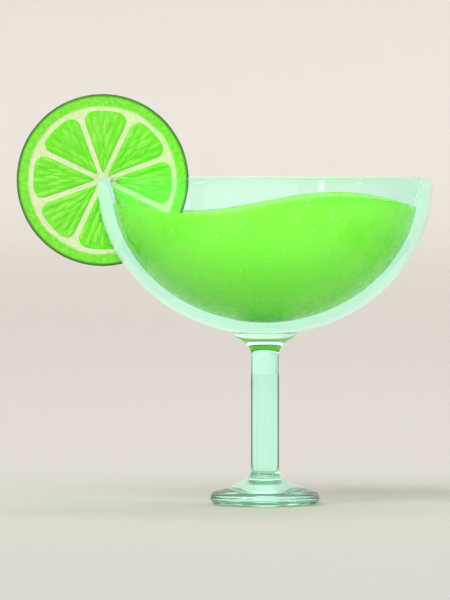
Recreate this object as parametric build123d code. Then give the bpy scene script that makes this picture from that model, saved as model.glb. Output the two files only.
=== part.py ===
"""A margarita in a heavy coupe glass, with a lime wheel slotted over the rim.

Frame: millimetres, +Z up, origin at the centre of the foot's flat underside, the glass's axis along Z.
The lime wheel faces -Y and sits over the rim on the -X side.

Three pieces: the glass, which is one piece from its lip to its foot, the drink that fills the bowl up
to a soft swell, and the lime wheel, whose slit holds the wall of the bowl.
"""

import os
from math import acos, asin, cos, exp, pi, radians, sin

from build123d import *

# The glass
GLASS_HEIGHT = 105.5
RIM_RADIUS = 54.0
RIM_STRAIGHT = 2.0  # from the lip's top down to the bowl's widest circle
LIP_ROUNDING = 1.8
BOWL_DEPTH = 49.0  # of the outer ellipse, below the widest circle
WALL = 5.5  # of the bowl's side at the widest circle, before it thins towards the lip
BASE_WALL = 5.3  # under the middle of the drink
INNER_LEAVE = 8.0  # the inner wall runs straight to the lip from this far below the widest circle
BOWL_POINTS = 13  # along each of the bowl's two curves

KNUCKLE_RADIUS = 10.3  # of the collar, where it meets the bowl
BEAD_RADIUS = 4.0  # the collar's convex round
BEAD_TOP_SLOPE, BEAD_FOOT_SLOPE = 70.0, 22.0  # of the bead's two ends, in degrees from the horizontal
STEM_RADIUS = 4.6

FOOT_RADIUS = 17.7
FOOT_NOSE = 2.2  # round of the foot's edge
FOOT_EDGE_SLOPE, FOOT_MIDDLE_SLOPE = 14.0, 27.0  # of the foot's top, in degrees from the horizontal
FOOT_COVE_RADIUS = 3.0  # the round between the stem and the foot

# The drink
DRINK_LEVEL = 96.3  # mean height of its surface
SWELL_HEIGHT, SWELL_LENGTH = 2.95, 98.0  # rise or fall about that level, and the length of the swell
BANK_HEIGHT, BANK_REACH = 3.3, 8.0  # how far it is pushed up the -X wall, and how soon that dies away
SAG_DEPTH, SAG_REACH = 1.2, 9.0  # the same for its fall at the +X wall
SWELL_POINTS = 17  # along the curve of the surface

# The lime wheel
LIME_RADIUS = 27.7
LIME_THICKNESS = 6.0  # over the pulp
LIME_CENTRE = (-52.3, 0, 104.6)
SEGMENTS = 8
FIRST_MEMBRANE = 19.6  # direction of one membrane, in degrees from +X towards +Z
MEMBRANE = 1.5  # between two segments
PULP_RADIUS = 22.4  # pith and rind lie outside it
PULP_CORNER, PULP_TIP = 3.0, 0.45  # rounds of a segment's outer corners and of its inner tip
PULP_RISE = 0.35  # how far the cut pulp stands proud of the pith
RIND_BULGE = 0.15  # of the rind between the two cut faces
RIND_ROUNDING = 0.4  # of the rind's two cut edges

widest_z = GLASS_HEIGHT - RIM_STRAIGHT
inner_radius = RIM_RADIUS - WALL
inner_depth = BOWL_DEPTH - BASE_WALL


def heading(angle):
    """A direction in the profile plane, in degrees from outwards towards up."""
    return cos(radians(angle)), sin(radians(angle))


def bowl_curve(semi_radius, semi_depth, low_radius, top_below):
    """A bowl ellipse from the radius where it starts up to a height below the widest circle."""
    low, top = -acos(low_radius / semi_radius), -asin(top_below / semi_depth)
    turns = [low + (top - low) * i / (BOWL_POINTS - 1) for i in range(BOWL_POINTS)]
    points = [(semi_radius * cos(turn), widest_z + semi_depth * sin(turn)) for turn in turns]
    ends = [(-semi_radius * sin(turn), semi_depth * cos(turn)) for turn in (low, top)]
    return Spline(points, tangents=ends)


def inner_wall():
    """The inside of the bowl from its lowest point to the lip, and the point where it meets the lip."""
    curve = bowl_curve(inner_radius, inner_depth, 0, INNER_LEAVE)
    leave, way = curve @ 1, curve % 1
    lip_point = (leave.X + (GLASS_HEIGHT - leave.Y) * way.X / way.Y, GLASS_HEIGHT)
    return [curve, Line(leave, lip_point)], lip_point


def foot_profile():
    """The foot from the middle of its underside, round its edge and up to the stem."""
    edge, middle = FOOT_EDGE_SLOPE, FOOT_MIDDLE_SLOPE
    underside = Line((0, 0), (FOOT_RADIUS - FOOT_NOSE, 0))
    nose = JernArc(underside @ 1, heading(0), FOOT_NOSE, 180 - edge)
    inwards = (nose @ 1).X - STEM_RADIUS - FOOT_COVE_RADIUS * (1 - sin(radians(middle)))
    top_radius = inwards / (sin(radians(middle)) - sin(radians(edge)))
    top = JernArc(nose @ 1, heading(180 - edge), top_radius, edge - middle)
    cove = JernArc(top @ 1, heading(180 - middle), FOOT_COVE_RADIUS, middle - 90)
    return [underside, nose, top, cove]


def collar_profile(bowl_start):
    """The collar under the bowl: a hollow round that leaves the stem, and a bead that meets the bowl."""
    top, foot = radians(BEAD_TOP_SLOPE), radians(BEAD_FOOT_SLOPE)
    bead_reach = BEAD_RADIUS * (sin(top) - sin(foot))
    bead_rise = BEAD_RADIUS * (cos(foot) - cos(top))
    cove_radius = (KNUCKLE_RADIUS - STEM_RADIUS - bead_reach) / (1 - sin(foot))
    stem_top = bowl_start.Y - bead_rise - cove_radius * cos(foot)
    cove = JernArc((STEM_RADIUS, stem_top), heading(90), cove_radius, BEAD_FOOT_SLOPE - 90)
    bead = JernArc(cove @ 1, heading(BEAD_FOOT_SLOPE), BEAD_RADIUS, BEAD_TOP_SLOPE - BEAD_FOOT_SLOPE)
    return [cove, bead]


def make_glass():
    """Bowl, collar, stem and foot as one solid, with a rounded lip."""
    outside = bowl_curve(RIM_RADIUS, BOWL_DEPTH, KNUCKLE_RADIUS, 0)
    foot = foot_profile()
    collar = collar_profile(outside @ 0)
    stem = Line(foot[-1] @ 1, collar[0] @ 0)
    inside, lip_point = inner_wall()
    rim_corner = (RIM_RADIUS, GLASS_HEIGHT)
    rim = [Line(outside @ 1, rim_corner), Line(rim_corner, lip_point)]
    axis = Line(inside[0] @ 0, (0, 0))
    section = make_face([*foot, stem, *collar, outside, *rim, *inside, axis])
    lip = [v for v in section.vertices() if abs(v.Y - GLASS_HEIGHT) < LIP_ROUNDING / 2]
    return revolve(Plane.XZ * fillet(lip, LIP_ROUNDING), Axis.Z)


def swell(x):
    """Height of the drink's surface at a distance along X from the axis; outside the bowl, as at its wall."""
    x = max(-inner_radius, min(x, inner_radius))
    wave = SWELL_HEIGHT * sin(2 * pi * x / SWELL_LENGTH)
    bank = BANK_HEIGHT * exp(-(inner_radius + x) / BANK_REACH)
    sag = SAG_DEPTH * exp(-(inner_radius - x) / SAG_REACH)
    return DRINK_LEVEL + wave + bank - sag


def make_drink(lime):
    """The bowl's filling, from the inner wall up to the swell, cut round the lime wheel."""
    inside, lip_point = inner_wall()
    top = (0, GLASS_HEIGHT)
    cavity = revolve(Plane.XZ * make_face([*inside, Line(lip_point, top), Line(top, inside[0] @ 0)]), Axis.Z)
    places = [RIM_RADIUS * (2 * i / (SWELL_POINTS - 1) - 1) for i in range(SWELL_POINTS)]
    surface = Spline([(x, swell(x)) for x in places])
    sides = Polyline(surface @ 1, (RIM_RADIUS, 0), (-RIM_RADIUS, 0), surface @ 0)
    below = extrude(Plane.XZ * make_face([surface, *sides.edges()]), RIM_RADIUS, both=True)
    return (cavity & below) - lime


def make_pulp(index):
    """One segment of pulp, which stands proud on both faces of the wheel, in the wheel's own plane."""
    half = 180 / SEGMENTS
    middle = FIRST_MEMBRANE + (2 * index + 1) * half
    tip = MEMBRANE / 2 / sin(radians(half))
    far_x, far_y = tip + PULP_RADIUS * cos(radians(half)), PULP_RADIUS * sin(radians(half))
    wedge = make_face(Polyline((tip, 0), (far_x, -far_y), (far_x, far_y), close=True)) & Circle(PULP_RADIUS)
    wedge = fillet([v for v in wedge.vertices() if v.X > PULP_RADIUS / 2], PULP_CORNER)
    wedge = fillet(wedge.vertices().sort_by(Axis.X)[0], PULP_TIP)
    return extrude(Rot(0, 0, middle) * wedge, LIME_THICKNESS / 2, both=True)


def make_lime(glass):
    """The wheel: rind and pith as one turned disc, its pulp segments, and the slit that holds the wall."""
    half = LIME_THICKNESS / 2 - PULP_RISE
    cut_radius = LIME_RADIUS - RIND_BULGE
    rind = ThreePointArc((cut_radius, -half), (LIME_RADIUS, 0), (cut_radius, half))
    faces = Polyline(rind @ 1, (0, half), (0, -half), rind @ 0)
    section = make_face([rind, *faces.edges()])
    edges = [v for v in section.vertices() if v.X > LIME_RADIUS / 2]
    disc = revolve(Plane.XZ * fillet(edges, RIND_ROUNDING), Axis.Z)
    wheel = disc + [make_pulp(index) for index in range(SEGMENTS)]
    return Plane(LIME_CENTRE, x_dir=(1, 0, 0), z_dir=(0, -1, 0)) * wheel - glass


glass = make_glass()
lime_wheel = make_lime(glass)
drink = make_drink(lime_wheel)

os.makedirs("parts", exist_ok=True)
for name, solid in {"glass": glass, "drink": drink, "lime_wheel": lime_wheel}.items():
    export_step(solid, f"parts/{name}.step")
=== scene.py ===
"""A margarita in a mint-tinted coupe glass, with a lime wheel slotted over the rim. Metres, +Z up."""

import math
import random

import bmesh
import bpy
from mathutils import Matrix, Vector, noise


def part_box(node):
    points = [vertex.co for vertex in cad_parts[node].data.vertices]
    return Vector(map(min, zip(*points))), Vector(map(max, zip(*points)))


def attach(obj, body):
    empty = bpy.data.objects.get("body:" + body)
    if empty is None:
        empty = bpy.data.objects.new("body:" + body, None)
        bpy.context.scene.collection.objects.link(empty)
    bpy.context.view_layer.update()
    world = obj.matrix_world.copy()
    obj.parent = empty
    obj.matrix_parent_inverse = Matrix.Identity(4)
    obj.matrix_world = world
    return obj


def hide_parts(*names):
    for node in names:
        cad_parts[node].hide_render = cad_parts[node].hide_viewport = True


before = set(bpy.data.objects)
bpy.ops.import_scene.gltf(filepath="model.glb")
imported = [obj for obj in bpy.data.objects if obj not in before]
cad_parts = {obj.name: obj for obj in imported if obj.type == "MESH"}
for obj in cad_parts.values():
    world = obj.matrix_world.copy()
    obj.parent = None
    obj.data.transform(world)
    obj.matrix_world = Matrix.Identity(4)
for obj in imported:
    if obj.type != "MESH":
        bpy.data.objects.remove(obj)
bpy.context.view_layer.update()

# --- The coupe glass ---------------------------------------------------------------------------------
# One piece of pressed glass, tinted mint all through: a thick bowl on a collar, a stem and a small foot.
# It is turned here from one outline, drawn from the middle of the foot's underside to the bowl's floor.
# The bowl hardly bends light, so that its wall shows as a clear band round the drink; the stem does.

MM = 0.001
SAME_PLACE = 0.001 * MM  # points this near to each other are one
glass_high, drink_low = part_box("glass")[1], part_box("drink")[0]
rim_radius, glass_top, bowl_floor = glass_high.x, glass_high.z, drink_low.z
RIM_STRAIGHT = 2.0 * MM  # from the lip down to the bowl's widest circle
OUTER_DEPTH = 49.0 * MM  # of the bowl's outer ellipse, below that circle
WALL = 5.5 * MM
INNER_LEAVE = 8.0 * MM  # the inner wall is straight from this far below the widest circle
LIP_ROUNDING = 1.8 * MM
COLLAR_RADIUS, BEAD_RADIUS, STEM_RADIUS = 10.3 * MM, 4.0 * MM, 4.6 * MM
BEAD_TOP, BEAD_FOOT = 70.0, 22.0  # slopes of the bead's ends, in degrees
FOOT_RADIUS, FOOT_NOSE, FOOT_COVE = 17.7 * MM, 2.2 * MM, 3.0 * MM
FOOT_EDGE, FOOT_MIDDLE = 14.0, 27.0  # slopes of the foot's top, in degrees
TURNED_STEPS = 192

widest_z = glass_top - RIM_STRAIGHT
inner_radius, inner_depth = rim_radius - WALL, glass_top - RIM_STRAIGHT - bowl_floor
leave_z = widest_z - INNER_LEAVE
leave_radius = inner_radius * math.sqrt(1 - (INNER_LEAVE / inner_depth) ** 2)
inner_flare = inner_radius**2 * INNER_LEAVE / (inner_depth**2 * leave_radius)  # radius gained per height


def inner_wall(z):
    """Radius of the bowl's inside at a height."""
    if z > leave_z:
        return leave_radius + (z - leave_z) * inner_flare
    return inner_radius * math.sqrt(max(0.0, 1 - ((widest_z - z) / inner_depth) ** 2))


def outer_wall(z):
    """Radius of the bowl's outside at a height."""
    return rim_radius * math.sqrt(max(0.0, 1 - (max(0.0, widest_z - z) / OUTER_DEPTH) ** 2))


class Outline:
    """The section of a turned piece in the XZ plane, drawn on from one point along a heading in degrees."""

    def __init__(self, x, z, heading=0.0):
        self.bm = bmesh.new()
        self.tip = self.bm.verts.new((x, 0, z))
        self.heading = heading

    def line(self, x, z):
        """Runs straight to a point."""
        new = bmesh.ops.extrude_vert_indiv(self.bm, verts=[self.tip])["verts"][0]
        self.heading = math.degrees(math.atan2(z - self.tip.co.z, x - self.tip.co.x))
        new.co = (x, 0, z)
        self.tip = new

    def swing(self, centre, degrees, steps):
        """Runs round a centre and returns the points it makes."""
        before = set(self.bm.verts)
        made = bmesh.ops.spin(
            self.bm, geom=[self.tip], cent=centre, axis=(0, -1, 0), angle=math.radians(degrees), steps=steps
        )
        self.tip = [g for g in made["geom_last"] if isinstance(g, bmesh.types.BMVert)][0]
        self.heading += degrees
        return [v for v in self.bm.verts if v not in before]

    def bend(self, radius, degrees, steps):
        """Goes on round an arc, to the left where degrees is above zero."""
        side = math.radians(self.heading + math.copysign(90, degrees))
        self.swing(self.tip.co + radius * Vector((math.cos(side), 0, math.sin(side))), degrees, steps)

    def bowl(self, centre_z, flatness, degrees, steps):
        """Goes on round an ellipse about a point on the axis; degrees are those of its circle."""
        place = Matrix.Translation((0, 0, -centre_z))
        bmesh.ops.scale(self.bm, vec=(1, 1, 1 / flatness), space=place, verts=[self.tip])
        first = self.tip
        new = self.swing((0, 0, centre_z), degrees, steps)
        bmesh.ops.scale(self.bm, vec=(1, 1, flatness), space=place, verts=[first, *new])

    def turned(self, steps):
        """Spins the section once round the Z axis into a closed surface."""
        bmesh.ops.spin(
            self.bm,
            geom=self.bm.verts[:] + self.bm.edges[:],
            cent=(0, 0, 0),
            axis=(0, 0, 1),
            angle=math.tau,
            steps=steps,
            use_merge=True,
        )
        bmesh.ops.remove_doubles(self.bm, verts=self.bm.verts[:], dist=SAME_PLACE)
        bmesh.ops.recalc_face_normals(self.bm, faces=self.bm.faces[:])
        return self.bm


def finished(name, bm, *materials):
    """The smooth-shaded object of a finished mesh, with its materials."""
    mesh = bpy.data.meshes.new(name)
    bm.to_mesh(mesh)
    bm.free()
    mesh.shade_smooth()
    piece = bpy.data.objects.new(name, mesh)
    bpy.context.scene.collection.objects.link(piece)
    for material in materials:
        mesh.materials.append(material)
    return piece


def sine(degrees):
    return math.sin(math.radians(degrees))


def cosine(degrees):
    return math.cos(math.radians(degrees))


outline = Outline(0, 0)
outline.line(FOOT_RADIUS - FOOT_NOSE, 0)
outline.bend(FOOT_NOSE, 180 - FOOT_EDGE, steps=20)
foot_inwards = outline.tip.co.x - STEM_RADIUS - FOOT_COVE * (1 - sine(FOOT_MIDDLE))
foot_top_radius = foot_inwards / (sine(FOOT_MIDDLE) - sine(FOOT_EDGE))
outline.bend(foot_top_radius, FOOT_EDGE - FOOT_MIDDLE, steps=12)
outline.bend(FOOT_COVE, FOOT_MIDDLE - 90, steps=12)
bowl_start = -math.acos(COLLAR_RADIUS / rim_radius)
bead_rise = BEAD_RADIUS * (cosine(BEAD_FOOT) - cosine(BEAD_TOP))
bead_reach = BEAD_RADIUS * (sine(BEAD_TOP) - sine(BEAD_FOOT))
collar_cove = (COLLAR_RADIUS - STEM_RADIUS - bead_reach) / (1 - sine(BEAD_FOOT))
collar_z = widest_z + OUTER_DEPTH * math.sin(bowl_start)
outline.line(STEM_RADIUS, collar_z - bead_rise - collar_cove * cosine(BEAD_FOOT))
outline.bend(collar_cove, BEAD_FOOT - 90, steps=16)
outline.bend(BEAD_RADIUS, BEAD_TOP - BEAD_FOOT, steps=10)
outline.bowl(widest_z, OUTER_DEPTH / rim_radius, -math.degrees(bowl_start), steps=72)
outline.line(rim_radius, glass_top - LIP_ROUNDING)
outline.bend(LIP_ROUNDING, 90, steps=10)
inner_lean = math.degrees(math.atan(inner_flare))
lip_inner = leave_radius + (glass_top - leave_z) * inner_flare
lip_corner = LIP_ROUNDING * math.tan(math.radians((90 + inner_lean) / 2))
outline.line(lip_inner + lip_corner, glass_top)
outline.bend(LIP_ROUNDING, 90 - inner_lean, steps=10)
outline.line(leave_radius, leave_z)
inner_sweep = -90 + math.degrees(math.asin(INNER_LEAVE / inner_depth))
outline.bowl(widest_z, inner_depth / inner_radius, inner_sweep, steps=64)


class Wire:
    """The output of a node. Arithmetic on it adds Math nodes to the same material."""

    def __init__(self, finish, socket):
        self.finish, self.socket = finish, socket

    def also(self, name):
        """Another output of the same node."""
        return Wire(self.finish, self.socket.node.outputs[name])

    def maths(self, operation, *terms):
        return self.finish.node("Math", dict(enumerate(terms)), {"operation": operation})

    def __add__(self, other):
        return self.maths("ADD", self, other)

    def __sub__(self, other):
        return self.maths("SUBTRACT", self, other)

    def __rsub__(self, other):
        return self.maths("SUBTRACT", other, self)

    def __mul__(self, other):
        return self.maths("MULTIPLY", self, other)

    def __truediv__(self, other):
        return self.maths("DIVIDE", self, other)

    __radd__, __rmul__ = __add__, __mul__

    def ramp(self, low, high):
        """0 at low and below, 1 at high and above, and smooth between."""
        wires = {"Value": self, "From Min": low, "From Max": high}
        return self.finish.node("MapRange", wires, {"interpolation_type": "SMOOTHSTEP"})


class Finish:
    """A material being made: its nodes, and the surface shader that they feed."""

    def __init__(self, name):
        self.material = bpy.data.materials.new(name)
        self.material.use_nodes = True
        self.tree = self.material.node_tree
        self.tree.nodes.clear()

    def node(self, kind, inputs=(), settings=(), out=0):
        """Adds a node, with its settings made first, and returns one of its outputs."""
        made = self.tree.nodes.new("ShaderNode" + kind)
        for name, value in dict(settings).items():
            setattr(made, name, value)
        for name, value in dict(inputs).items():
            if isinstance(value, Wire):
                self.tree.links.new(value.socket, made.inputs[name])
            else:
                made.inputs[name].default_value = value
        return Wire(self, made.outputs[out])

    def place(self):
        """The point's own place, in metres."""
        return self.node("TexCoord", out="Object")

    def noise(self, place, scale, detail=2.0, roughness=0.5):
        """Soft random patches, 0 to 1, so many to the metre."""
        wires = {"Vector": place, "Scale": scale, "Detail": detail, "Roughness": roughness}
        return self.node("TexNoise", wires)

    def mixed(self, factor, first, second):
        """Two colours, mixed."""
        return self.node("Mix", {0: factor, 6: first, 7: second}, {"data_type": "RGBA"}, out=2)

    def bump(self, height, distance, strength=1.0):
        """The normal of a fine relief, whose height runs from 0 to 1 over a distance in metres."""
        return self.node("Bump", {"Height": height, "Distance": distance, "Strength": strength})

    def surface(self, **values):
        """Ends the material in one Principled shader."""
        shader = self.node("BsdfPrincipled", {k.replace("_", " "): v for k, v in values.items()})
        output = self.tree.nodes.new("ShaderNodeOutputMaterial")
        self.tree.links.new(shader.socket, output.inputs["Surface"])
        self.output = output
        return self.material


MINT_DENSITY = 10.0  # light lost to a metre of glass, as powers of e, where the tint takes most
bowl_finish = Finish("mint_glass")
mint_glass = bowl_finish.surface(
    Base_Color=(0.84, 1.0, 0.93, 1),
    Roughness=0.0,
    IOR=1.02,
    Transmission_Weight=1.0,
    Coat_Weight=0.6,
    Coat_IOR=1.5,
    Coat_Roughness=0.0,
)
tint = bowl_finish.node("VolumeAbsorption", {"Color": (0.0, 0.97, 0.62, 1), "Density": MINT_DENSITY})
bowl_finish.tree.links.new(tint.socket, bowl_finish.output.inputs["Volume"])
stem_glass = Finish("mint_glass_below").surface(
    Base_Color=(0.57, 1.0, 0.82, 1),
    Roughness=0.0,
    IOR=1.5,
    Transmission_Weight=1.0,
)
bm = outline.turned(TURNED_STEPS)
for face in bm.faces:
    if face.calc_center_median().z < collar_z:
        face.material_index = 1
glass = finished("coupe_glass", bm, mint_glass, stem_glass)
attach(glass, "root")
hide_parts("glass")

# --- The drink -----------------------------------------------------------------------------------------
# A blend of crushed ice, lime and tequila, thick enough to hold the swell that it was poured with. It is
# turned to the bowl's inside, just into the wall, and its top is then lifted to the swell and roughened.

DRINK_LEVEL = 96.3 * MM  # mean height of the surface
SWELL_HEIGHT, SWELL_LENGTH = 2.95 * MM, 98.0 * MM
BANK_HEIGHT, BANK_REACH = 3.3 * MM, 8.0 * MM  # of its rise at the -X wall
SAG_DEPTH, SAG_REACH = 1.2 * MM, 9.0 * MM  # of its fall at the +X wall
CLING_HEIGHT, CLING_REACH = 0.7 * MM, 0.9 * MM  # how it creeps up the wall all round its edge
INTO_WALL = 0.15 * MM
ICE = ((9.0 * MM, 0.45 * MM), (3.2 * MM, 0.5 * MM), (1.3 * MM, 0.3 * MM))  # width, height of its relief
EDGE_SHARE = 0.05  # of the radius, over which the ice's relief dies away at the wall
DIP_DEPTH, HOLLOW_SHADE_AT_LEVEL = 0.45 * MM, 0.3  # of the dips over which the painted shade in the hollows grows, and that painted shade at the surface's level
TURNED_SHARE = 0.02  # of the drink's height that stays as it is turned, over the bowl's floor
DRINK_STEPS, TOP_RINGS = 400, 96


def swell(x):
    """Height of the drink's surface at a distance along X from the axis."""
    wave = SWELL_HEIGHT * math.sin(math.tau * x / SWELL_LENGTH)
    bank = BANK_HEIGHT * math.exp(-(inner_radius + x) / BANK_REACH)
    sag = SAG_DEPTH * math.exp(-(inner_radius - x) / SAG_REACH)
    return DRINK_LEVEL + wave + bank - sag


def grain(x, y):
    """Relief of the crushed ice, from soft mounds down to single grains."""
    layers = enumerate(ICE)
    return sum(noise.noise(Vector((x, y, layer)) / width) * height for layer, (width, height) in layers)


def edge_at(turn):
    """Radius and height at which the swell meets the wall, in a direction round the axis."""
    z = DRINK_LEVEL
    for _ in range(12):
        radius = inner_wall(z)
        z = swell(radius * math.cos(turn))
    return radius, z


level_radius = inner_wall(DRINK_LEVEL) + INTO_WALL
outline = Outline(0, bowl_floor - INTO_WALL)
outline.bowl(widest_z, (inner_depth + INTO_WALL) / (inner_radius + INTO_WALL), -inner_sweep, steps=44)
outline.line(level_radius, DRINK_LEVEL)
top_edge = bmesh.ops.extrude_vert_indiv(outline.bm, verts=[outline.tip])
top_edge["verts"][0].co = (0, 0, DRINK_LEVEL)
bmesh.ops.subdivide_edges(outline.bm, edges=top_edge["edges"], cuts=TOP_RINGS)
bm = outline.turned(DRINK_STEPS)
hollow_shade = bm.verts.layers.float.new("hollow_shade")  # how deep a point lies between the grains of ice, which sets the painted shade in the hollows
for v in bm.verts:
    turn, radius = math.atan2(v.co.y, v.co.x), math.hypot(v.co.x, v.co.y)
    edge_radius, edge_z = edge_at(turn)
    share = (v.co.z - bowl_floor) / (DRINK_LEVEL - bowl_floor)
    if v.co.z > DRINK_LEVEL - SAME_PLACE:
        out = radius / level_radius
        x, y = (out * (edge_radius + INTO_WALL) * f(turn) for f in (math.cos, math.sin))
        cling = CLING_HEIGHT * math.exp(-(1 - out) * edge_radius / CLING_REACH)
        relief = grain(x, y) * min(1, (1 - out) / EDGE_SHARE)
        v[hollow_shade] = max(0.0, min(1.0, HOLLOW_SHADE_AT_LEVEL - relief / DIP_DEPTH))
        v.co = (x, y, swell(x) + relief + cling)
    elif share > TURNED_SHARE:
        z = bowl_floor + share * (edge_z + CLING_HEIGHT - bowl_floor)
        radius = inner_wall(z) + INTO_WALL
        v.co = (radius * math.cos(turn), radius * math.sin(turn), z)

drink_finish = Finish("margarita")
place = drink_finish.place()
cloud = drink_finish.noise(place, 70.0, 3.0)
crush = drink_finish.noise(place, 420.0, 5.0, 0.65)
# Pale specks of ice crystals in the colour, which also stand in for glints: partly real, partly a painted
# highlight.
crystals = drink_finish.node("TexVoronoi", {"Vector": place, "Scale": 520.0})
chosen = drink_finish.node("SeparateColor", {0: crystals.also("Color")}).ramp(0.86, 0.9)
ice_specks_and_glints = chosen * (1 - crystals.ramp(0.15, 0.42))
colour = drink_finish.mixed(cloud.ramp(0.35, 0.68), (0.255, 0.940, 0.038, 1), (0.295, 0.980, 0.055, 1))
colour = drink_finish.mixed(crush.ramp(0.35, 0.75) * 0.4, colour, (0.38, 0.99, 0.12, 1))
colour = drink_finish.mixed(ice_specks_and_glints * 0.5, colour, (0.62, 0.98, 0.34, 1))
# Painted shade: the top is darkened to a deeper green where it lies low between the grains of ice.
hollow_shade_mask = drink_finish.node("Attribute", settings={"attribute_name": "hollow_shade"}, out="Fac")
colour = drink_finish.mixed(hollow_shade_mask * 0.85, colour, (0.12, 0.60, 0.012, 1))
margarita = drink_finish.surface(
    Base_Color=colour,
    Roughness=0.38 - crush * 0.2,
    IOR=1.34,
    Subsurface_Weight=0.4,
    Subsurface_Radius=(0.6, 1.0, 0.35),
    Subsurface_Scale=3.0 * MM,
    Normal=drink_finish.bump(crush, 0.1 * MM, 0.25),
)
drink = finished("blended_margarita", bm, margarita)
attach(drink, "root")
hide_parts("drink")

# --- The lime wheel: rind, pith and membranes ----------------------------------------------------------
# A slice across a lime, slit from its edge to its middle and pushed down over the wall of the glass.
# A section through pith and rind is swept once round from the slit, which then gives way to the wall.

wheel_low, wheel_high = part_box("lime_wheel")
wheel_middle = (wheel_low + wheel_high) / 2
wheel_radius = (wheel_high.x - wheel_low.x) / 2
HALF_PITH = 2.65 * MM  # half of the wheel's thickness at the pith
HALF_PULP = 2.82 * MM  # the same over the pulp, under its juice sacs
PULP_RADIUS, PITH_RADIUS = 22.4 * MM, 23.9 * MM
WANDER = 1.2 * MM  # of the line between pith and zest
SKIN_INSIDE, SKIN_FULL = 1.3 * MM, 0.3 * MM  # under the wheel's edge: where the zest darkens, and is all skin
RIND_ROUNDING = 0.5 * MM
SLIT_TURN, SLIT_GAP = 270.0, 0.2  # the slit's direction and its width before it gives way, in degrees
LIP_SHELTER = 1.4 * MM  # what is this near the lip's top goes over it, not beside it
WHEEL_STEPS = 300
FACE_CUTS, SIDE_CUTS = 30, 12  # of the section's long lines on the faces, and of the one across the skin
ON_AXIS = 0.01 * MM  # points this near to the wheel's axis lie on it
UPRIGHT = Matrix.Rotation(math.radians(90), 3, "X")


def beside_wall(place, outside):
    """Moves a point of the wheel out of the glass's wall, to its outer or its inner side."""
    z = place.z
    if z >= glass_top:
        return place
    outer, inner = (-math.sqrt(wall(z) ** 2 - place.y**2) for wall in (outer_wall, inner_wall))
    if glass_top - z < LIP_SHELTER and outer < place.x < inner:
        return Vector((place.x, place.y, glass_top))
    return Vector((min(place.x, outer) if outside else max(place.x, inner), place.y, z))


def slit_lean(radius):
    """How far the slit leans from straight down, where it follows the wall's middle, at a radius."""
    lean = 0.0
    for _ in range(8):
        z = min(glass_top, wheel_middle.z - radius * math.cos(lean))
        reach = -(outer_wall(z) + inner_wall(z)) / 2 - wheel_middle.x
        lean = math.asin(min(1.0, reach / max(radius, reach)))
    return lean


def standing(point):
    """Where a point of a wheel made flat about the Z axis ends up, once the wheel stands in its place."""
    return wheel_middle + UPRIGHT @ point


def stood(point, outside):
    """The same, once the point has also given way to the wall."""
    return beside_wall(standing(point), outside)


outline = Outline(0, -HALF_PITH)
outline.line(wheel_radius - RIND_ROUNDING, -HALF_PITH)
outline.bend(RIND_ROUNDING, 90, steps=6)
outline.line(wheel_radius, HALF_PITH - RIND_ROUNDING)
outline.bend(RIND_ROUNDING, 90, steps=6)
outline.line(0, HALF_PITH)
bm = outline.bm
long_edges = [e for e in bm.edges if e.calc_length() > PULP_RADIUS]
bmesh.ops.subdivide_edges(bm, edges=long_edges, cuts=FACE_CUTS)
side_edges = [e for e in bm.edges if e.calc_length() > HALF_PITH]
bmesh.ops.subdivide_edges(bm, edges=side_edges, cuts=SIDE_CUTS)
slit = Matrix.Rotation(math.radians(SLIT_TURN + SLIT_GAP / 2), 3, "Z")
bmesh.ops.rotate(bm, cent=(0, 0, 0), matrix=slit, verts=bm.verts[:])
bmesh.ops.spin(
    bm,
    geom=bm.verts[:] + bm.edges[:],
    cent=(0, 0, 0),
    axis=(0, 0, 1),
    angle=math.radians(360 - SLIT_GAP),
    steps=WHEEL_STEPS,
)
middles = [v for v in bm.verts if math.hypot(v.co.x, v.co.y) < ON_AXIS]
bmesh.ops.remove_doubles(bm, verts=middles, dist=2 * ON_AXIS)
slit_edges = [e for e in bm.edges if e.is_boundary]
for left in (False, True):
    side = [e for e in slit_edges if ((e.verts[0].co + e.verts[1].co).x < 0) == left]
    front_and_back = [e for e in side if all(abs(abs(v.co.z) - HALF_PITH) < SAME_PLACE for v in e.verts)]
    bmesh.ops.bridge_loops(bm, edges=front_and_back)
bmesh.ops.holes_fill(bm, edges=[e for e in bm.edges if e.is_boundary])
bmesh.ops.recalc_face_normals(bm, faces=bm.faces[:])
for v in bm.verts:
    radius, from_slit = math.hypot(v.co.x, v.co.y), math.atan2(v.co.x, -v.co.y)
    lean = slit_lean(radius) * (1 + math.cos(from_slit)) / 2
    v.co = stood(Matrix.Rotation(lean, 3, "Z") @ v.co, from_slit < 0)

rind_finish = Finish("lime_rind_and_pith")
place = rind_finish.place()
apart = rind_finish.node("VectorMath", {0: place, 1: wheel_middle}, {"operation": "SUBTRACT"})
flat = rind_finish.node("VectorMath", {0: apart, 1: (1, 0, 1)}, {"operation": "MULTIPLY"})
radius = rind_finish.node("VectorMath", {0: flat}, {"operation": "LENGTH"}, out="Value")
fibres = rind_finish.noise(place, 900.0, 4.0, 0.6)
cloud = rind_finish.noise(place, 160.0, 3.0)
wander = (cloud - 0.5) * WANDER
zest = (radius + wander).ramp(PITH_RADIUS - 0.6 * MM, PITH_RADIUS + 0.5 * MM)
skin = (radius + wander * 0.3).ramp(wheel_radius - SKIN_INSIDE, wheel_radius - SKIN_FULL)
pith_colour = rind_finish.mixed(fibres.ramp(0.3, 0.7), (0.70, 0.84, 0.42, 1), (0.82, 0.92, 0.60, 1))
zest_colour = rind_finish.mixed(fibres.ramp(0.25, 0.75), (0.175, 0.74, 0.035, 1), (0.27, 0.90, 0.065, 1))
skin_colour = rind_finish.mixed(cloud.ramp(0.35, 0.65), (0.030, 0.165, 0.010, 1), (0.060, 0.27, 0.018, 1))
colour = rind_finish.mixed(skin, rind_finish.mixed(zest, pith_colour, zest_colour), skin_colour)
glands = rind_finish.node("TexVoronoi", {"Vector": place, "Scale": 850.0}, {"feature": "SMOOTH_F1"})
relief = glands.ramp(0.05, 0.5) * skin + fibres * (1 - skin) * 0.6
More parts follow.
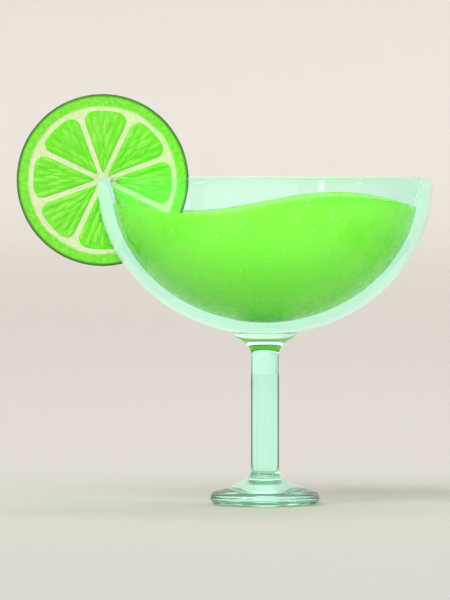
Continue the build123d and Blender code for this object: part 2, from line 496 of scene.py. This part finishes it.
lime_rind = rind_finish.surface(
    Base_Color=colour,
    Roughness=0.42 - skin * 0.14 + fibres * 0.1,
    Subsurface_Weight=0.15,
    Subsurface_Radius=(0.8, 1.0, 0.4),
    Subsurface_Scale=1.0 * MM,
    Normal=rind_finish.bump(relief, 0.12 * MM, 0.7),
)
rind = finished("lime_rind", bm, lime_rind)
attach(rind, "root")
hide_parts("lime_wheel")

# --- The lime wheel: pulp --------------------------------------------------------------------------------
# Eight segments between the membranes. Each is a soft wedge right through the wheel, and on both of its
# cut faces lie the juice sacs, which are teardrops with their points towards the wheel's middle.

SEGMENTS, FIRST_MEMBRANE, MEMBRANE = 8, 19.6, 1.5 * MM  # the second is a direction in degrees
PULP_CORNER, PULP_TIP = 3.0 * MM, 0.45 * MM
SAC_ROWS = (  # distance of a row's middle from the wheel's, half of a sac's length, and a sac's width
    (5.4 * MM, 3.3 * MM, 1.2 * MM),
    (8.8 * MM, 3.6 * MM, 1.5 * MM),
    (12.2 * MM, 3.7 * MM, 1.8 * MM),
    (15.6 * MM, 3.8 * MM, 2.1 * MM),
    (18.7 * MM, 3.6 * MM, 2.3 * MM),
)
SAC_DEPTH, SAC_RISE = 0.5 * MM, 0.46 * MM  # a sac's middle under the wedge's face, and its top over it
SAC_TIP, SAC_PLUMP = 0.3, 0.62  # a sac's width at its point, and half its width, as shares of its room
SIDE_ROOM = 0.08 * MM  # from a sac to the membrane beside it
STAGGER = 0.7 * MM  # every other sac of a row lies further out or in by this
SIDE_SQUARENESS, END_SQUARENESS = 0.1, 0.03  # powers that square the wedge up round it and at its ends
half_turn = math.pi / SEGMENTS
tip_start = MEMBRANE / 2 / math.sin(half_turn)
tip_middle = tip_start + PULP_TIP / math.sin(half_turn)
corner_turn = half_turn - math.asin((MEMBRANE / 2 + PULP_CORNER) / (PULP_RADIUS - PULP_CORNER))
corner_x, corner_y = ((PULP_RADIUS - PULP_CORNER) * f(corner_turn) for f in (math.cos, math.sin))


def half_width(x):
    """Half of a segment's width at a distance along its middle line from the wheel's middle."""
    if x < tip_middle - PULP_TIP * math.sin(half_turn):
        return math.sqrt(max(0.0, PULP_TIP**2 - (x - tip_middle) ** 2))
    if x < corner_x - PULP_CORNER * math.sin(half_turn):
        return (x - tip_start) * math.tan(half_turn)
    if x < PULP_RADIUS * math.cos(corner_turn):
        return corner_y + math.sqrt(PULP_CORNER**2 - (x - corner_x) ** 2)
    return math.sqrt(max(0.0, PULP_RADIUS**2 - x**2))


def squared(value, power):
    """A value from -1 to 1 pushed outwards, which squares a round section up."""
    return math.copysign(abs(value) ** power, value)


def add_wedge(bm):
    """The soft wedge of one segment, right through the wheel and along +X."""
    turn = Matrix.Rotation(math.radians(90), 4, "Y")
    bmesh.ops.create_uvsphere(bm, u_segments=40, v_segments=48, radius=1, matrix=turn)
    for v in bm.verts:
        ring = math.hypot(v.co.y, v.co.z)
        x = (tip_middle - PULP_TIP) * (1 - v.co.x) / 2 + PULP_RADIUS * (1 + v.co.x) / 2
        across, up = (squared(part / max(ring, 1e-6), SIDE_SQUARENESS) for part in (v.co.y, v.co.z))
        v.co = (x, half_width(x) * across, HALF_PULP * up * squared(ring, END_SQUARENESS))


def add_sac(bm, middle, turn, half_length, width, sink, face):
    """A teardrop on one face of a segment, kept inside the segment's outline. Returns its points."""
    verts = bmesh.ops.create_uvsphere(bm, u_segments=10, v_segments=8, radius=1)["verts"]
    for v in verts:
        across, up, along = v.co
        plump = SAC_TIP + (1 - SAC_TIP) * ((1 + along) / 2) ** 0.7
        flat = Vector((along * half_length, across * plump * width * SAC_PLUMP))
        flat = middle + Matrix.Rotation(turn, 2) @ flat
        x = min(flat.x, PULP_RADIUS - SIDE_ROOM)
        limit = max(0.0, half_width(x) - SIDE_ROOM)
        height = HALF_PULP - SAC_DEPTH + (SAC_DEPTH + SAC_RISE - sink) * up * math.sqrt(plump)
        v.co = (x, max(-limit, min(limit, flat.y)), face * height)
    return verts


chance = random.Random(8)
pulp_mesh = bpy.data.meshes.new("pulp_so_far")
pulp_bm = bmesh.new()
for index in range(SEGMENTS):
    middle = math.radians(FIRST_MEMBRANE) + (2 * index + 1) * half_turn
    turn = Matrix.Rotation(middle, 3, "Z")
    bm = bmesh.new()
    add_wedge(bm)
    places = [standing(turn @ v.co) for v in bm.verts]
    low = [place for place in places if place.z < glass_top - LIP_SHELTER]
    sides = {True} if any(place.x < -outer_wall(place.z) for place in low) else set()
    if any(place.x > -inner_wall(place.z) for place in low):
        sides.add(False)
    for outside in sides or {math.cos(middle) < 0}:
        half = bm.copy()
        for v in half.verts:
            v.co = stood(turn @ v.co, outside)
        half.to_mesh(pulp_mesh)
        pulp_bm.from_mesh(pulp_mesh)
        half.free()
    bm.free()
    for face in (-1, 1):
        bm = bmesh.new()
        tone = bm.verts.layers.float.new("tone")
        for row, (distance, half_length, width) in enumerate(SAC_ROWS):
            room = half_turn - math.asin((MEMBRANE / 2 + SIDE_ROOM) / distance)
            count = max(1, round(2 * room * distance / width))
            for spot in range(count):
                lean = room * ((2 * spot + 1 + chance.uniform(-0.15, 0.15)) / count - 1)
                stagger = STAGGER if (spot + row) % 2 else -STAGGER
                out = distance + chance.uniform(-0.5, 0.5) * MM + stagger
                spread = 2 * room * distance / count
                place = Vector((out * math.cos(lean), out * math.sin(lean)))
                askew = lean + chance.uniform(-0.06, 0.06)
                sac = add_sac(bm, place, askew, half_length, spread, chance.uniform(0, 0.18) * MM, face)
                stand = standing(turn @ place.to_3d())
                outside = stand.x < -(outer_wall(stand.z) + inner_wall(stand.z)) / 2
                shade = chance.random()
                for v in sac:
                    v[tone] = shade
                    v.co = stood(turn @ v.co, outside)
        bm.to_mesh(pulp_mesh)
        pulp_bm.from_mesh(pulp_mesh)
        bm.free()
bmesh.ops.recalc_face_normals(pulp_bm, faces=pulp_bm.faces[:])

pulp_finish = Finish("lime_pulp")
place = pulp_finish.place()
shade = pulp_finish.node("Attribute", settings={"attribute_name": "tone"}, out="Fac")
cloud = pulp_finish.noise(place, 200.0, 3.0)
streaks = pulp_finish.noise(place, 1400.0, 2.0)
colour = pulp_finish.mixed(shade, (0.175, 0.86, 0.030, 1), (0.30, 0.97, 0.080, 1))
colour = pulp_finish.mixed(cloud.ramp(0.4, 0.75) * 0.35, colour, (0.42, 0.96, 0.17, 1))
lime_pulp = pulp_finish.surface(
    Base_Color=colour,
    Roughness=0.16 + streaks * 0.16,
    IOR=1.38,
    Subsurface_Weight=0.12,
    Subsurface_Radius=(0.7, 1.0, 0.25),
    Subsurface_Scale=0.8 * MM,
    Normal=pulp_finish.bump(streaks, 0.05 * MM, 0.5),
)
pulp = finished("lime_pulp", pulp_bm, lime_pulp)
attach(pulp, "root")
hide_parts("lime_wheel")

# --- Stage, lights and camera -----------------------------------------------------------------------------
# A pale floor that curves up all round into a low wall, open to a plain sky. A soft sun, three lamps for the
# highlights and two fills light the object. A dim panel behind the glass, which shows only through it, brings
# out its mint, and low dark cards, which only gloss and glass show, draw the edges of the stem.

STAGE_RADIUS, STAGE_CURVE, STAGE_WALL = 4.3, 1.2, 3.0
FLOOR_Z = -0.1 * MM
outline = Outline(0, FLOOR_Z)
outline.line(STAGE_RADIUS, FLOOR_Z)
outline.bend(STAGE_CURVE, 90, steps=24)
outline.line(STAGE_RADIUS + STAGE_CURVE, STAGE_WALL)
bm = outline.turned(128)
bmesh.ops.reverse_faces(bm, faces=bm.faces[:])
paper_finish = Finish("warm_paper")
place = paper_finish.place()
fleck = paper_finish.noise(place, 30.0, 4.0)
height = paper_finish.node("SeparateXYZ", {0: place}, out="Z")
paper = paper_finish.mixed(height.ramp(0.0, 0.4), (0.680, 0.650, 0.610, 1), (0.560, 0.535, 0.500, 1))
colour = paper_finish.mixed(fleck * 0.04, paper, (0.4, 0.39, 0.37, 1))
floor = finished("stage_floor", bm, paper_finish.surface(Base_Color=colour, Roughness=0.9))


def light(name, kind, place, power, **settings):
    """A light that faces the drink and that the camera doesn't see."""
    made = bpy.data.lights.new(name, kind)
    made.energy = power
    for key, value in settings.items():
        setattr(made, key, value)
    holder = bpy.data.objects.new(name, made)
    holder.location = place
    holder.rotation_euler = (Vector((0, 0, 0.07)) - Vector(place)).to_track_quat("-Z", "Y").to_euler()
    holder.visible_camera = False
    bpy.context.scene.collection.objects.link(holder)
    return holder


light("soft_sun", "SUN", (-1.0, -2.2, 1.5), 3.3, angle=math.radians(60)).visible_glossy = False
for name, place, width, height, power, lit in (
    ("low_fill", (0.3, -1.7, 0.68), 2.4, 1.3, 22.0, (glass, drink)),
    ("back_fill", (-0.3, 1.3, 1.3), 2.4, 1.3, 5.0, (glass, drink, rind, pulp)),
    ("glow_behind_glass", (0, 0.12, 0.069), 0.44, 0.14, 0.045, (glass,)),
):
    fill = light(name, "AREA", place, power, shape="RECTANGLE", size=width, size_y=height)
    fill.visible_glossy = False
    receivers = bpy.data.collections.new(f"lit_by_{name}")
    for piece in lit:
        receivers.objects.link(piece)
    fill.light_linking.receiver_collection = receivers
light("left_strip", "AREA", (-1.25, -1.15, 0.75), 3.5, shape="RECTANGLE", size=0.14, size_y=0.9)
light("right_strip", "AREA", (1.35, -0.55, 0.6), 2.0, shape="RECTANGLE", size=0.10, size_y=0.8)
light("top_box", "AREA", (0.2, 0.6, 1.6), 3.0, shape="RECTANGLE", size=0.9, size_y=0.5)

CARD_TURNS = (63, 117, 243, 297)  # of each card's middle from behind the glass, in degrees
CARD_DISTANCE, CARD_SPREAD, CARD_HEIGHT = 0.14, 24.0, 0.05
bm = bmesh.new()
for degrees in CARD_TURNS:
    out = Matrix.Translation((0, CARD_DISTANCE, CARD_HEIGHT / 2))
    turn = Matrix.Rotation(math.radians(degrees), 4, "Z") @ out
    width = 2 * CARD_DISTANCE * math.tan(math.radians(CARD_SPREAD / 2))
    stand = turn @ Matrix.Rotation(math.radians(90), 4, "X") @ Matrix.Diagonal((width, CARD_HEIGHT, 1, 1))
    bmesh.ops.create_grid(bm, x_segments=1, y_segments=1, size=0.5, matrix=stand)
black_card = Finish("black_card").surface(Base_Color=(0.03, 0.03, 0.03, 1), Roughness=0.8)
cards = finished("stage_cards", bm, black_card)
cards.visible_camera = cards.visible_diffuse = cards.visible_shadow = False

world = bpy.data.worlds.new("sky")
world.use_nodes = True
for name, value in {"Color": (1, 0.98, 0.95, 1), "Strength": 0.62}.items():
    world.node_tree.nodes["Background"].inputs[name].default_value = value
bpy.context.scene.world = world
bpy.context.scene.view_settings.view_transform = "Standard"

FRAME_HEIGHT = 193.4 * MM  # what the picture's long side takes in, at the glass
CAMERA_DISTANCE = 2.5
LOOK_ABOVE_RIM = 0.5  # degrees
aim = Vector((-12.9 * MM, 0, 65.9 * MM))
camera = bpy.data.cameras.new("camera")
camera.sensor_width = 36
camera.lens = 36 * CAMERA_DISTANCE / FRAME_HEIGHT
camera.clip_end = 20
holder = bpy.data.objects.new("camera", camera)
lift = glass_top + CAMERA_DISTANCE * math.tan(math.radians(LOOK_ABOVE_RIM))
holder.location = (aim.x, -math.sqrt(CAMERA_DISTANCE**2 - (lift - aim.z) ** 2), lift)
holder.rotation_euler = (aim - holder.location).to_track_quat("-Z", "Y").to_euler()
bpy.context.scene.collection.objects.link(holder)
bpy.context.scene.camera = holder
